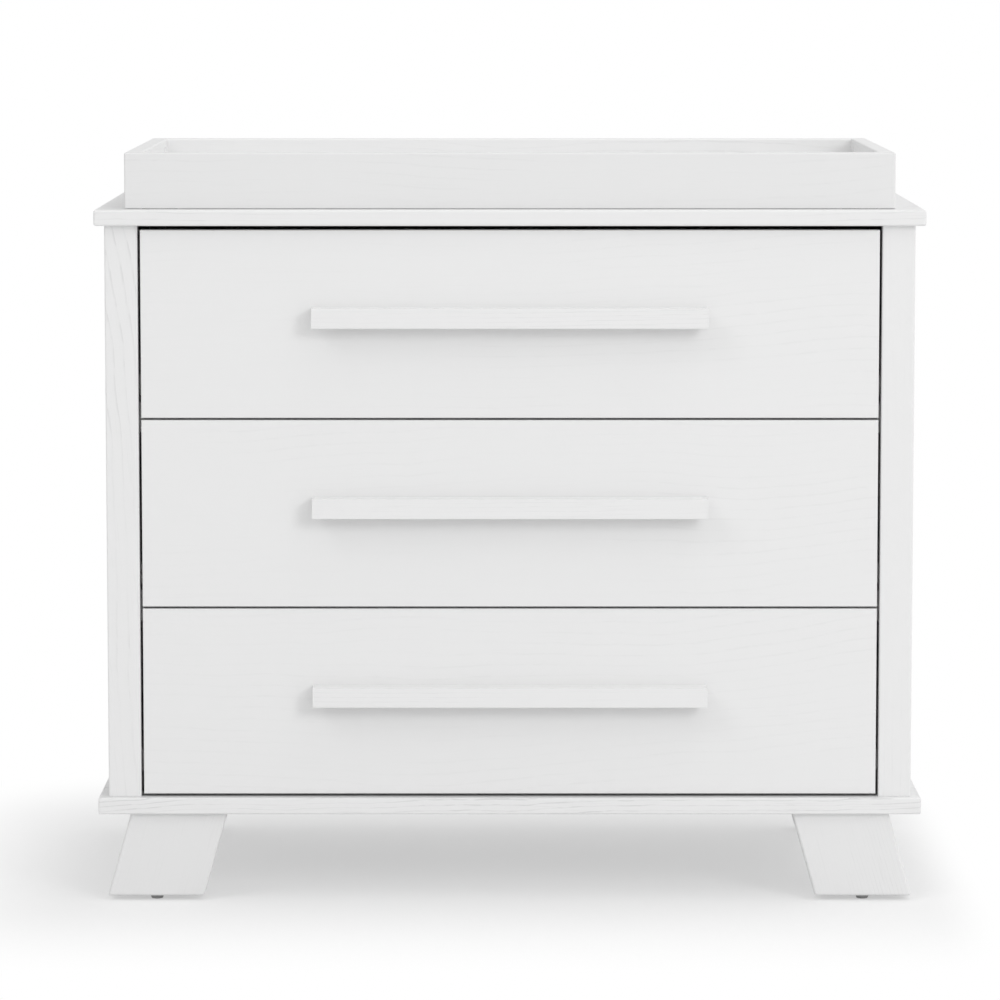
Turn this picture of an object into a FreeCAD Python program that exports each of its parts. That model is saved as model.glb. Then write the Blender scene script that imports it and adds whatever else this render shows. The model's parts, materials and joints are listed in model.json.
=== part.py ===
"""Changing dresser: a lacquered three-drawer chest with a removable changing tray.

Millimetres. +Z is up and +X is to the right of a person who faces the drawers, which open
towards -Y. The origin is on the floor, under the middle of the whole piece with its handles.
"""
import FreeCAD, Part
import math
import os
from FreeCAD import Base

# --- Driving dimensions ------------------------------------------------------------------

# Overall form: the top carries the tray, with a ledge all round it
TRAY_LENGTH = 876.0
TRAY_DEPTH = 444.0
SIDE_LEDGE = 33.5
FRONT_LEDGE = 24.0
BACK_LEDGE = 22.0
CARCASS_HEIGHT = 655.6          # clear height between the base and top panels
SIDE_OVERHANG = 11.3            # top and base stand out past the carcass sides
FRONT_OVERHANG = 10.0           # and past the drawer fronts

# Board thicknesses
TOP_THICKNESS = 18.0
BASE_THICKNESS = 19.0
SIDE_THICKNESS = 18.0
BACK_THICKNESS = 5.0
RAIL_THICKNESS = 18.0

# Carcass frame
POST_WIDTH = 37.5
POST_DEPTH = 30.0
REAR_POST_DEPTH = 30.0
BACK_SETBACK = 2.0              # back panel behind the rear edges of the sides
FRONT_RAIL_HEIGHT = 35.0
BACK_RAIL_HEIGHT = 70.0
CLEAT_HEIGHT = 64.0

# Legs
LEG_RISE = 96.5
LEG_WIDTH = 111.0
LEG_DEPTH = 36.0
LEG_SPLAY = 27.0                # how far the foot stands outside the head of the leg
FRONT_LEG_INSET = 36.5          # head of a front leg inside the end of the base panel
REAR_LEG_INSET = 32.0           # the rear legs stand hidden behind the front ones
LEG_FRONT_SETBACK = 8.0         # face of a front leg behind the front of the base panel
LEG_BACK_SETBACK = 20.0
LEG_BOLT_RADIUS = 4.0
LEG_BOLT_GRIP = 50.0            # thread engaged in the leg
BOLT_HEAD_ACROSS_FLATS = 13.0
BOLT_HEAD_HEIGHT = 5.3
BOLT_CLEARANCE = 0.3
COUNTERBORE_RADIUS = 9.0        # keeps the bolt heads below the drawers
COUNTERBORE_DEPTH = 5.8
TENON_LENGTH = 70.0             # locating tenon on the head of a leg
TENON_WIDTH = 24.0
TENON_HEIGHT = 6.0
TENON_CLEARANCE = 0.3
GLIDE_RADIUS = 8.0
GLIDE_HEIGHT = 5.5

# Drawers
DRAWER_COUNT = 3
FRONT_THICKNESS = 20.0
FRONT_SIDE_GAP = 3.0
FRONT_BOTTOM_GAP = 3.2
FRONT_BETWEEN_GAP = 2.4
FRONT_TOP_GAP = 5.0
BOX_HEIGHT = 165.0
BOX_BACK_GAP = 15.0             # behind a closed drawer, to the back rails
BOX_WALL = 12.0
BOX_BOTTOM_THICKNESS = 4.0
BOX_BOTTOM_RISE = 10.0          # underside of the bottom above the lower edge of the walls
BOX_GROOVE_DEPTH = 5.0
BOX_BEVEL = 1.2                 # lower outer edge of a drawer side
GROOVE_CLEARANCE = 0.2
DRAWER_TRAVEL = 300.0

# Handles: a bar whose lip hangs down in front of a finger groove
HANDLE_LENGTH = 450.0
HANDLE_HEIGHT = 22.6
HANDLE_PROJECTION = 26.0
HANDLE_RAISE = 8.0              # centre of the bar above the centre of the drawer front
HANDLE_GROOVE_DEPTH = 15.0
HANDLE_GROOVE_HEIGHT = 9.0
HANDLE_GROOVE_RADIUS = 4.0

# Drawer slides: rolled steel channels, each with one nylon roller
SLIDE_SPACE = 12.7              # between the carcass and the side of the drawer box
SLIDE_SETBACK = 2.0             # front end of the slide behind the drawer front
SLIDE_BACK_SETBACK = 18.0       # rear end of the slide in front of the back of the box
STEEL_THICKNESS = 1.2
BEND_RADIUS = 1.6               # at the middle of the sheet
ROLLER_RADIUS = 10.0
ROLLER_WIDTH = 7.8
ROLLER_WEB_GAP = 1.0            # between a roller and the web of the cabinet channel
ROLLER_RUNNING_GAP = 0.3        # above and below the rollers
ROLLER_END_INSET = 13.0         # roller centre from the end of its channel
CHANNEL_HEADROOM = 0.5          # over the sliding flange
CHANNEL_EDGE_GAP = 1.1          # between a flange and the other channel's web
RAIL_DROP = 6.0                 # drawer box below the floor of the cabinet channel
RAIL_SEAT_WIDTH = 10.0          # flange under the drawer box
AXLE_RADIUS = 2.5
AXLE_CLEARANCE = 0.05
AXLE_END = 0.4                  # axle stands out past its roller
STOP_LENGTH = 7.0
STOP_HEIGHT = 4.0
STOP_WIDTH = 5.0
STOP_GAP = 0.5                  # left before the stop when the drawer is fully open
RAIL_TO_SLIDE_GAP = 1.5         # a front rail and the slide that passes over it

# Changing tray
TRAY_HEIGHT = 63.5
TRAY_WALL = 19.0
TRAY_SLAT_WIDTH = 60.0
TRAY_SLAT_THICKNESS = 9.0
TRAY_SLAT_SETBACK = 110.0       # centre of a slat from the end of the tray
TRAY_KERF_WIDTH = 1.6
TRAY_KERF_DEPTH = 3.0
TRAY_KERF_TOP = 8.6             # start of the kerf below the top edge
TRAY_KERF_SETBACK = 38.0        # kerf in front of the back wall
PAD_THICKNESS = 0.6
PAD_LENGTH = 40.0
PAD_WIDTH = 12.0
PAD_INSET = 40.0                # pad centre from the end of a long wall
BRACKET_WIDTH = 26.0
BRACKET_LEG = 16.0
BRACKET_THICKNESS = 2.0
BRACKET_INSET = 150.0           # bracket centre from the end of the tray

# Eased edges
PANEL_EASE = 2.5
BASE_EASE = 2.0
POST_EASE = 2.0
LEG_EASE = 2.0
FRONT_EASE = 1.5
HANDLE_EASE = 1.5
TRAY_EASE = 2.0

# --- Levels and faces that follow from them ------------------------------------------------

WIDTH = TRAY_LENGTH + 2 * SIDE_LEDGE
DEPTH = FRONT_LEDGE + TRAY_DEPTH + BACK_LEDGE
HANDLE_OVERHANG = HANDLE_PROJECTION - FRONT_OVERHANG
FRONT = (HANDLE_OVERHANG - DEPTH) / 2
BACK = FRONT + DEPTH
LEG_FOOT = GLIDE_HEIGHT
BASE_UNDER = LEG_FOOT + LEG_RISE
BASE_TOP = BASE_UNDER + BASE_THICKNESS
TOP_UNDER = BASE_TOP + CARCASS_HEIGHT
TOP_FACE = TOP_UNDER + TOP_THICKNESS
TRAY_UNDER = TOP_FACE + PAD_THICKNESS

CARCASS_FRONT = FRONT + FRONT_OVERHANG
CARCASS_SIDE = WIDTH / 2 - SIDE_OVERHANG
SIDE_INSIDE = CARCASS_SIDE - SIDE_THICKNESS
OPENING_SIDE = CARCASS_SIDE - POST_WIDTH
POST_BACK = CARCASS_FRONT + POST_DEPTH
BACK_OUTSIDE = BACK - BACK_SETBACK
BACK_INSIDE = BACK_OUTSIDE - BACK_THICKNESS
REAR_POST_FRONT = BACK_INSIDE - REAR_POST_DEPTH
TRAY_FRONT = FRONT + FRONT_LEDGE
TRAY_BACK = TRAY_FRONT + TRAY_DEPTH
TRAY_TOP = TRAY_UNDER + TRAY_HEIGHT

FRONT_GAPS = FRONT_BOTTOM_GAP + FRONT_TOP_GAP + FRONT_BETWEEN_GAP * (DRAWER_COUNT - 1)
FRONT_HEIGHT = (CARCASS_HEIGHT - FRONT_GAPS) / DRAWER_COUNT
FRONT_BACK = CARCASS_FRONT + FRONT_THICKNESS
BOX_SIDE = OPENING_SIDE - SLIDE_SPACE
BOX_BACK = BACK_INSIDE - RAIL_THICKNESS - BOX_BACK_GAP

SLIDE_FRONT = FRONT_BACK + SLIDE_SETBACK
SLIDE_LENGTH = BOX_BACK - SLIDE_BACK_SETBACK - SLIDE_FRONT
ROLLER_INNER = STEEL_THICKNESS + ROLLER_WEB_GAP
ROLLER_OUTER = ROLLER_INNER + ROLLER_WIDTH
RAIL_WEB = SLIDE_SPACE - STEEL_THICKNESS
CHANNEL_CLEAR = 2 * (ROLLER_RADIUS + ROLLER_RUNNING_GAP) + STEEL_THICKNESS + CHANNEL_HEADROOM
ROLLER_RISE = ROLLER_RUNNING_GAP + ROLLER_RADIUS
# The lower edge of a drawer box, over its front's lower edge, clears the rail below it
RAIL_ABOVE_FRONT = (FRONT_RAIL_HEIGHT - FRONT_BETWEEN_GAP) / 2
BOX_RISE = RAIL_ABOVE_FRONT + RAIL_TO_SLIDE_GAP + STEEL_THICKNESS

DRAWER_NAMES = ("bottom", "middle", "top")


# --- Shape helpers -------------------------------------------------------------------------

def vector(x, y, z):
    """Short form of a FreeCAD vector."""
    return Base.Vector(x, y, z)


def block(low, high):
    """Rectangular block between two corners."""
    size = [b - a for a, b in zip(low, high)]
    return Part.makeBox(size[0], size[1], size[2], vector(*low))


def rod(start, direction, length, radius):
    """Solid cylinder from a point along a direction."""
    return Part.makeCylinder(radius, length, vector(*start), vector(*direction))


def mirrored(shape):
    """The same piece for the other side of the dresser."""
    return shape.mirror(vector(0, 0, 0), vector(1, 0, 0))


def both_sides(shape):
    """A left-hand piece and its right-hand twin."""
    return [shape, mirrored(shape)]


def ends(edge):
    """First and last point of an edge."""
    return edge.Vertexes[0].Point, edge.Vertexes[-1].Point


def eased(shape, radius, wanted):
    """Round the straight edges for which wanted(first_point, last_point) is true."""
    edges = [edge for edge in shape.Edges if wanted(*ends(edge))]
    return shape.makeFillet(radius, edges)


def both_at(first, last, axis, value):
    """Whether both ends of an edge lie on a plane across one axis."""
    return abs(first[axis] - value) < 0.01 and abs(last[axis] - value) < 0.01


def sheet_section(start, heading, moves, thickness):
    """Closed outline of a bent sheet in the X-Z plane.

    start and heading (degrees from +X) place the middle of the sheet. Each move is
    ("flat", length) or ("bend", degrees), where a positive bend turns left about
    the bend radius given as the third item.
    """
    half = thickness / 2
    x, z = start
    angle = math.radians(heading)
    left, right = [], []
    for move in moves:
        if move[0] == "flat":
            next_x = x + move[1] * math.cos(angle)
            next_z = z + move[1] * math.sin(angle)
            for edges, side in ((left, half), (right, -half)):
                shift_x = -side * math.sin(angle)
                shift_z = side * math.cos(angle)
                first = vector(x + shift_x, 0, z + shift_z)
                last = vector(next_x + shift_x, 0, next_z + shift_z)
                edges.append(Part.LineSegment(first, last).toShape())
            x, z = next_x, next_z
            continue
        turn = math.radians(move[1])
        radius = math.copysign(move[2], turn)
        centre_x = x - radius * math.sin(angle)
        centre_z = z + radius * math.cos(angle)
        for edges, side in ((left, half), (right, -half)):
            reach = radius - side
            points = []
            for part_turn in (0, turn / 2, turn):
                here = angle + part_turn
                points.append(vector(centre_x + reach * math.sin(here), 0, centre_z - reach * math.cos(here)))
            edges.append(Part.Arc(*points).toShape())
        angle += turn
        x = centre_x + radius * math.sin(angle)
        z = centre_z - radius * math.cos(angle)
    start_cap = Part.LineSegment(left[0].Vertexes[0].Point, right[0].Vertexes[0].Point).toShape()
    end_cap = Part.LineSegment(left[-1].Vertexes[-1].Point, right[-1].Vertexes[-1].Point).toShape()
    outline = Part.Wire(Part.__sortEdges__(left + [end_cap] + right + [start_cap]))
    return Part.Face(outline)


def save(node, solids):
    """Write one node; a list becomes a group of separate solids."""
    shape = solids[0] if len(solids) == 1 else Part.makeCompound(solids)
    shape.exportStep("parts/" + node + ".step")


# --- Where the drawers sit -----------------------------------------------------------------

def front_bottom(index):
    """Lower edge of a drawer front; index 0 is the bottom drawer."""
    return BASE_TOP + FRONT_BOTTOM_GAP + index * (FRONT_HEIGHT + FRONT_BETWEEN_GAP)


def box_bottom(index):
    """Lower edge of a drawer box."""
    return front_bottom(index) + BOX_RISE


def channel_floor(index):
    """Running surface of the cabinet channels of a drawer."""
    return box_bottom(index) + RAIL_DROP


def handle_centre(index):
    """Level of the middle of a handle."""
    return front_bottom(index) + FRONT_HEIGHT / 2 + HANDLE_RAISE


# --- Top, base and frame -------------------------------------------------------------------

def eased_panel(low, high, radius):
    """Panel whose upper and lower edges are rounded, except at its back."""
    panel = block(low, high)
    return eased(panel, radius, lambda a, b: abs(a.z - b.z) < 0.01 and not both_at(a, b, 1, high[1]))


def make_top_panel():
    """Top with eased edges, which overhangs the carcass in front and at the sides."""
    return eased_panel((-WIDTH / 2, FRONT, TOP_UNDER), (WIDTH / 2, BACK, TOP_FACE), PANEL_EASE)


def leg_middles():
    """Centre of the head of each leg in plan: the left pair, then the right pair."""
    reach = WIDTH / 2 - LEG_WIDTH / 2
    front = (reach - FRONT_LEG_INSET, FRONT + LEG_FRONT_SETBACK + LEG_DEPTH / 2)
    rear = (reach - REAR_LEG_INSET, BACK - LEG_BACK_SETBACK - LEG_DEPTH / 2)
    return [(side * x, y) for side in (-1, 1) for x, y in (front, rear)]


def tenon(x, y, clearance):
    """Tenon at the head of a leg, or its mortise when a clearance is given."""
    half_x = TENON_LENGTH / 2 + clearance
    half_y = TENON_WIDTH / 2 + clearance
    return block((x - half_x, y - half_y, BASE_UNDER),
                 (x + half_x, y + half_y, BASE_UNDER + TENON_HEIGHT + clearance))


def make_base_panel():
    """Base with eased edges, and a mortise and a counterbored bolt hole over each leg."""
    panel = eased_panel((-WIDTH / 2, FRONT, BASE_UNDER), (WIDTH / 2, BACK, BASE_TOP), BASE_EASE)
    for x, y in leg_middles():
        hole = rod((x, y, BASE_UNDER), (0, 0, 1), BASE_THICKNESS, LEG_BOLT_RADIUS + BOLT_CLEARANCE)
        counterbore = rod((x, y, BASE_TOP), (0, 0, -1), COUNTERBORE_DEPTH, COUNTERBORE_RADIUS)
        panel = panel.cut([hole, counterbore, tenon(x, y, TENON_CLEARANCE)])
    return panel


def make_left_side_panel():
    """Side behind the front post."""
    return block((-CARCASS_SIDE, POST_BACK, BASE_TOP), (-SIDE_INSIDE, BACK, TOP_UNDER))


def make_left_front_post():
    """Thick post at the front corner, eased on its two front edges."""
    post = block((-CARCASS_SIDE, CARCASS_FRONT, BASE_TOP), (-OPENING_SIDE, POST_BACK, TOP_UNDER))
    return eased(post, POST_EASE, lambda a, b: both_at(a, b, 1, CARCASS_FRONT) and abs(a.z - b.z) > POST_EASE)


def make_rear_posts():
    """Battens in the rear corners, which the back panel is fixed to."""
    post = block((-SIDE_INSIDE, REAR_POST_FRONT, BASE_TOP), (-OPENING_SIDE, BACK_INSIDE, TOP_UNDER))
    return both_sides(post)


def make_runner_cleats():
    """Packers that bring the slides out to the inner faces of the posts."""
    cleats = []
    for index in range(DRAWER_COUNT):
        middle = channel_floor(index) + CHANNEL_CLEAR / 2
        low = (-SIDE_INSIDE, POST_BACK, middle - CLEAT_HEIGHT / 2)
        high = (-OPENING_SIDE, REAR_POST_FRONT, middle + CLEAT_HEIGHT / 2)
        cleats += both_sides(block(low, high))
    return cleats


def make_front_rail(index):
    """Rail behind the gap over one drawer front."""
    middle = front_bottom(index) + FRONT_HEIGHT + FRONT_BETWEEN_GAP / 2
    low = (-OPENING_SIDE, FRONT_BACK, middle - FRONT_RAIL_HEIGHT / 2)
    high = (OPENING_SIDE, FRONT_BACK + RAIL_THICKNESS, middle + FRONT_RAIL_HEIGHT / 2)
    return block(low, high)


def make_back_rails():
    """Stretchers between the rear posts, under the top and on the base."""
    rails = []
    for low_z in (BASE_TOP, TOP_UNDER - BACK_RAIL_HEIGHT):
        low = (-OPENING_SIDE, BACK_INSIDE - RAIL_THICKNESS, low_z)
        rails.append(block(low, (OPENING_SIDE, BACK_INSIDE, low_z + BACK_RAIL_HEIGHT)))
    return rails


def make_back_panel():
    """Thin back between the side panels, on the rear posts and rails."""
    return block((-SIDE_INSIDE, BACK_INSIDE, BASE_TOP), (SIDE_INSIDE, BACK_OUTSIDE, TOP_UNDER))


# --- Legs ----------------------------------------------------------------------------------

def make_left_leg(middle_x, middle_y):
    """Slab leg that leans outwards, eased along its long edges, with a tenon on its head."""
    front_face = middle_y - LEG_DEPTH / 2
    outer = middle_x - LEG_WIDTH / 2
    inner = middle_x + LEG_WIDTH / 2
    corners = [
        vector(outer, front_face, BASE_UNDER),
        vector(inner, front_face, BASE_UNDER),
        vector(inner - LEG_SPLAY, front_face, LEG_FOOT),
        vector(outer - LEG_SPLAY, front_face, LEG_FOOT),
    ]
    leg = Part.Face(Part.makePolygon(corners + [corners[0]])).extrude(vector(0, LEG_DEPTH, 0))
    leg = eased(leg, LEG_EASE, lambda a, b: abs(a.z - b.z) > LEG_RISE / 2)
    return leg.fuse(tenon(middle_x, middle_y, 0))


def make_leg_glides():
    """Round nylon glides under the middle of each leg."""
    glides = []
    for x, y in leg_middles():
        foot_x = x + math.copysign(LEG_SPLAY, x)
        glides.append(rod((foot_x, y, 0), (0, 0, 1), GLIDE_HEIGHT, GLIDE_RADIUS))
    return glides


def make_leg_bolts():
    """Hexagon-head bolts in their counterbores, down through the base into the legs."""
    corner_radius = BOLT_HEAD_ACROSS_FLATS / math.sqrt(3)
    seat = BASE_TOP - COUNTERBORE_DEPTH
    length = seat - BASE_UNDER + LEG_BOLT_GRIP
    bolts = []
    for x, y in leg_middles():
        corners = []
        for step in range(6):
            angle = math.radians(60 * step)
            corner_x = x + corner_radius * math.cos(angle)
            corners.append(vector(corner_x, y + corner_radius * math.sin(angle), seat))
        outline = Part.Face(Part.makePolygon(corners + [corners[0]]))
        head = outline.extrude(vector(0, 0, BOLT_HEAD_HEIGHT))
        shank = rod((x, y, seat), (0, 0, -1), length, LEG_BOLT_RADIUS)
        bolts.append(head.fuse(shank))
    return bolts


# --- Drawer slides -------------------------------------------------------------------------

def left_slide_place(solid, front_y, floor):
    """Put a section drawn at the origin at the left-hand slide's place."""
    return solid.translated(vector(-OPENING_SIDE, front_y, floor))


def make_cabinet_channel(index):
    """C-section on the carcass with a roller axle at its front end and a stop behind it."""
    half = STEEL_THICKNESS / 2
    flange = RAIL_WEB - CHANNEL_EDGE_GAP - half - BEND_RADIUS
    web = CHANNEL_CLEAR + STEEL_THICKNESS - 2 * BEND_RADIUS
    moves = [
        ("flat", flange),
        ("bend", -90, BEND_RADIUS),
        ("flat", web),
        ("bend", -90, BEND_RADIUS),
        ("flat", flange),
    ]
    section = sheet_section((half + BEND_RADIUS + flange, -half), 180, moves, STEEL_THICKNESS)
    channel = section.extrude(vector(0, SLIDE_LENGTH, 0))
    axle = rod((half, ROLLER_END_INSET, ROLLER_RISE), (1, 0, 0), ROLLER_OUTER + AXLE_END - half, AXLE_RADIUS)
    # The open drawer's roller comes to rest just behind the stop
    roller_open = SLIDE_LENGTH - ROLLER_END_INSET - DRAWER_TRAVEL
    roller_reach = math.sqrt(ROLLER_RADIUS ** 2 - (ROLLER_RISE - STOP_HEIGHT) ** 2)
    stop_back = roller_open - roller_reach - STOP_GAP
    stop_low = (ROLLER_INNER, stop_back - STOP_LENGTH, -half)
    stop = block(stop_low, (ROLLER_INNER + STOP_WIDTH, stop_back, STOP_HEIGHT))
    whole = channel.fuse([axle, stop]).removeSplitter()
    return left_slide_place(whole, SLIDE_FRONT, channel_floor(index))


def make_drawer_rail(index):
    """Rail under a drawer side, with its flange over the rollers and an axle at the back."""
    half = STEEL_THICKNESS / 2
    over = RAIL_WEB - CHANNEL_EDGE_GAP - STEEL_THICKNESS + half - BEND_RADIUS
    rise = RAIL_DROP + 2 * (ROLLER_RADIUS + ROLLER_RUNNING_GAP) + STEEL_THICKNESS
    web = rise - 2 * BEND_RADIUS
    middle_x = RAIL_WEB + half
    moves = [
        ("flat", RAIL_SEAT_WIDTH),
        ("bend", -90, BEND_RADIUS),
        ("flat", web),
        ("bend", 90, BEND_RADIUS),
        ("flat", over),
    ]
    start = (middle_x + BEND_RADIUS + RAIL_SEAT_WIDTH, -RAIL_DROP - half)
    rail = sheet_section(start, 180, moves, STEEL_THICKNESS).extrude(vector(0, SLIDE_LENGTH, 0))
    axle_start = (middle_x, SLIDE_LENGTH - ROLLER_END_INSET, ROLLER_RISE)
    axle = rod(axle_start, (-1, 0, 0), middle_x - ROLLER_INNER + AXLE_END, AXLE_RADIUS)
    return left_slide_place(rail.fuse(axle).removeSplitter(), SLIDE_FRONT, channel_floor(index))


def make_roller(index, from_front):
    """Nylon roller; from_front is its centre behind the slide's front end."""
    roller = rod((ROLLER_INNER, 0, 0), (1, 0, 0), ROLLER_WIDTH, ROLLER_RADIUS)
    bore = rod((ROLLER_INNER, 0, 0), (1, 0, 0), ROLLER_WIDTH, AXLE_RADIUS + AXLE_CLEARANCE)
    return left_slide_place(roller.cut(bore), SLIDE_FRONT + from_front, channel_floor(index) + ROLLER_RISE)


# --- Drawers -------------------------------------------------------------------------------

def groove_cutter(index):
    """The space that the drawer bottom's edges and their grooves take up."""
    low_z = box_bottom(index) + BOX_BOTTOM_RISE - GROOVE_CLEARANCE
    reach = BOX_SIDE - BOX_WALL + BOX_GROOVE_DEPTH + GROOVE_CLEARANCE
    low = (-reach, FRONT_BACK - BOX_GROOVE_DEPTH - GROOVE_CLEARANCE, low_z)
    return block(low, (reach, BOX_BACK, low_z + BOX_BOTTOM_THICKNESS + 2 * GROOVE_CLEARANCE))


def make_drawer_front(index):
    """Inset front, eased on its face and grooved for the bottom."""
    side = OPENING_SIDE - FRONT_SIDE_GAP
    low_z = front_bottom(index)
    front = block((-side, CARCASS_FRONT, low_z), (side, FRONT_BACK, low_z + FRONT_HEIGHT))
    front = eased(front, FRONT_EASE, lambda a, b: both_at(a, b, 1, CARCASS_FRONT))
    return front.cut(groove_cutter(index))


def make_left_drawer_side(index):
    """Side of the box, grooved for the bottom and bevelled where it sits in the rail's bend."""
    low_z = box_bottom(index)
    side = block((-BOX_SIDE, FRONT_BACK, low_z), (-BOX_SIDE + BOX_WALL, BOX_BACK, low_z + BOX_HEIGHT))
    corner = []
    for edge in side.Edges:
        if both_at(*ends(edge), 0, -BOX_SIDE) and both_at(*ends(edge), 2, low_z):
            corner.append(edge)
    return side.makeChamfer(BOX_BEVEL, corner).cut(groove_cutter(index))


def make_drawer_back(index):
    """Back of the box between its sides, standing on the bottom."""
    inside = BOX_SIDE - BOX_WALL
    low_z = box_bottom(index) + BOX_BOTTOM_RISE + BOX_BOTTOM_THICKNESS
    high = (inside, BOX_BACK, box_bottom(index) + BOX_HEIGHT)
    return block((-inside, BOX_BACK - BOX_WALL, low_z), high)


def make_drawer_bottom(index):
    """Thin bottom that slides into the grooves."""
    reach = BOX_SIDE - BOX_WALL + BOX_GROOVE_DEPTH
    low_z = box_bottom(index) + BOX_BOTTOM_RISE
    low = (-reach, FRONT_BACK - BOX_GROOVE_DEPTH, low_z)
    return block(low, (reach, BOX_BACK, low_z + BOX_BOTTOM_THICKNESS))


def make_handle(index):
    """Long bar with a lip that hangs in front of a rounded finger groove."""
    middle = handle_centre(index)
    front_y = CARCASS_FRONT - HANDLE_PROJECTION
    low_z = middle - HANDLE_HEIGHT / 2
    left_x = -HANDLE_LENGTH / 2
    bar = block((left_x, front_y, low_z), (-left_x, CARCASS_FRONT, low_z + HANDLE_HEIGHT))
    bar = eased(bar, HANDLE_EASE, lambda a, b: both_at(a, b, 1, front_y))
    groove_top = low_z + HANDLE_GROOVE_HEIGHT
    groove = block((left_x, CARCASS_FRONT - HANDLE_GROOVE_DEPTH, low_z - HANDLE_EASE),
                   (-left_x, CARCASS_FRONT, groove_top))
    lip_face = CARCASS_FRONT - HANDLE_GROOVE_DEPTH
    groove = eased(groove, HANDLE_GROOVE_RADIUS,
                   lambda a, b: both_at(a, b, 1, lip_face) and both_at(a, b, 2, groove_top))
    return bar.cut(groove)


def save_drawer(index):
    """Write every node of one drawer and its slides."""
    name = DRAWER_NAMES[index] + "_drawer_"
    side = make_left_drawer_side(index)
    save(name + "front", [make_drawer_front(index)])
    save(name + "left_side", [side])
    save(name + "right_side", [mirrored(side)])
    save(name + "back", [make_drawer_back(index)])
    save(name + "bottom", [make_drawer_bottom(index)])
    save(name + "handle", [make_handle(index)])
    save(name + "rails", both_sides(make_drawer_rail(index)))
    save(name + "cabinet_channels", both_sides(make_cabinet_channel(index)))
    save(name + "front_rollers", both_sides(make_roller(index, ROLLER_END_INSET)))
    save(name + "rear_rollers", both_sides(make_roller(index, SLIDE_LENGTH - ROLLER_END_INSET)))


# --- Changing tray -------------------------------------------------------------------------

def make_tray_long_wall(front_y):
    """Front or back board, which runs past the ends of the side boards."""
    low = (-TRAY_LENGTH / 2, front_y, TRAY_UNDER)
    wall = block(low, (TRAY_LENGTH / 2, front_y + TRAY_WALL, TRAY_TOP))
    return eased(wall, TRAY_EASE, lambda a, b: both_at(a, b, 2, TRAY_TOP))


def make_tray_left_wall():
    """Side board with a stopped kerf near its back end."""
    back_y = TRAY_BACK - TRAY_WALL
    inside = TRAY_WALL - TRAY_LENGTH / 2
    wall = block((-TRAY_LENGTH / 2, TRAY_FRONT + TRAY_WALL, TRAY_UNDER), (inside, back_y, TRAY_TOP))
    wall = eased(wall, TRAY_EASE, lambda a, b: both_at(a, b, 2, TRAY_TOP) and abs(a.y - b.y) > TRAY_WALL)
    kerf_y = back_y - TRAY_KERF_SETBACK
    kerf_low = (inside - TRAY_KERF_DEPTH, kerf_y, TRAY_UNDER + TRAY_SLAT_THICKNESS)
    return wall.cut(block(kerf_low, (inside, kerf_y + TRAY_KERF_WIDTH, TRAY_TOP - TRAY_KERF_TOP)))


def make_tray_slats():
    """Two cross slats between the long walls, level with their lower edges."""
    middle = TRAY_LENGTH / 2 - TRAY_SLAT_SETBACK
    low = (-middle - TRAY_SLAT_WIDTH / 2, TRAY_FRONT + TRAY_WALL, TRAY_UNDER)
    high = (-middle + TRAY_SLAT_WIDTH / 2, TRAY_BACK - TRAY_WALL, TRAY_UNDER + TRAY_SLAT_THICKNESS)
    return both_sides(block(low, high))


def make_tray_pads():
    """Thin pads that keep the tray off the lacquer of the top."""
    reach = TRAY_LENGTH / 2 - PAD_INSET
    pads = []
    for x in (-reach, reach):
        for y in (TRAY_FRONT + TRAY_WALL / 2, TRAY_BACK - TRAY_WALL / 2):
            low = (x - PAD_LENGTH / 2, y - PAD_WIDTH / 2, TOP_FACE)
            pads.append(block(low, (x + PAD_LENGTH / 2, y + PAD_WIDTH / 2, TRAY_UNDER)))
    return pads


def make_tray_brackets():
    """Lengths of square-cornered angle behind the tray that hold it down to the top."""
    foot = block((0, 0, 0), (BRACKET_WIDTH, BRACKET_LEG, BRACKET_THICKNESS))
    upright = block((0, 0, 0), (BRACKET_WIDTH, BRACKET_THICKNESS, BRACKET_LEG))
    angle = foot.fuse(upright).removeSplitter()
    brackets = []
    for side in (-1, 1):
        x = side * (TRAY_LENGTH / 2 - BRACKET_INSET)
        brackets.append(angle.translated(vector(x - BRACKET_WIDTH / 2, TRAY_BACK, TOP_FACE)))
    return brackets


# --- Every node ----------------------------------------------------------------------------

def save_carcass():
    """Write the fixed pieces, from the top down."""
    side = make_left_side_panel()
    post = make_left_front_post()
    save("top_panel", [make_top_panel()])
    save("base_panel", [make_base_panel()])
    save("left_side_panel", [side])
    save("right_side_panel", [mirrored(side)])
    save("left_front_post", [post])
    save("right_front_post", [mirrored(post)])
    save("rear_posts", make_rear_posts())
    save("runner_cleats", make_runner_cleats())
    save("lower_front_rail", [make_front_rail(0)])
    save("upper_front_rail", [make_front_rail(1)])
    save("back_rails", make_back_rails())
    save("back_panel", [make_back_panel()])


def save_legs():
    """Write the four legs with their glides and bolts."""
    for row, (x, y) in zip(("front", "rear"), leg_middles()):
        leg = make_left_leg(x, y)
        save(row + "_left_leg", [leg])
        save(row + "_right_leg", [mirrored(leg)])
    save("leg_glides", make_leg_glides())
    save("leg_bolts", make_leg_bolts())


def save_tray():
    """Write the changing tray."""
    wall = make_tray_left_wall()
    save("tray_front", [make_tray_long_wall(TRAY_FRONT)])
    save("tray_back", [make_tray_long_wall(TRAY_BACK - TRAY_WALL)])
    save("tray_left_wall", [wall])
    save("tray_right_wall", [mirrored(wall)])
    save("tray_slats", make_tray_slats())
    save("tray_pads", make_tray_pads())
    save("tray_brackets", make_tray_brackets())


os.makedirs("parts", exist_ok=True)
save_carcass()
save_legs()
for drawer in range(DRAWER_COUNT):
    save_drawer(drawer)
save_tray()
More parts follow.
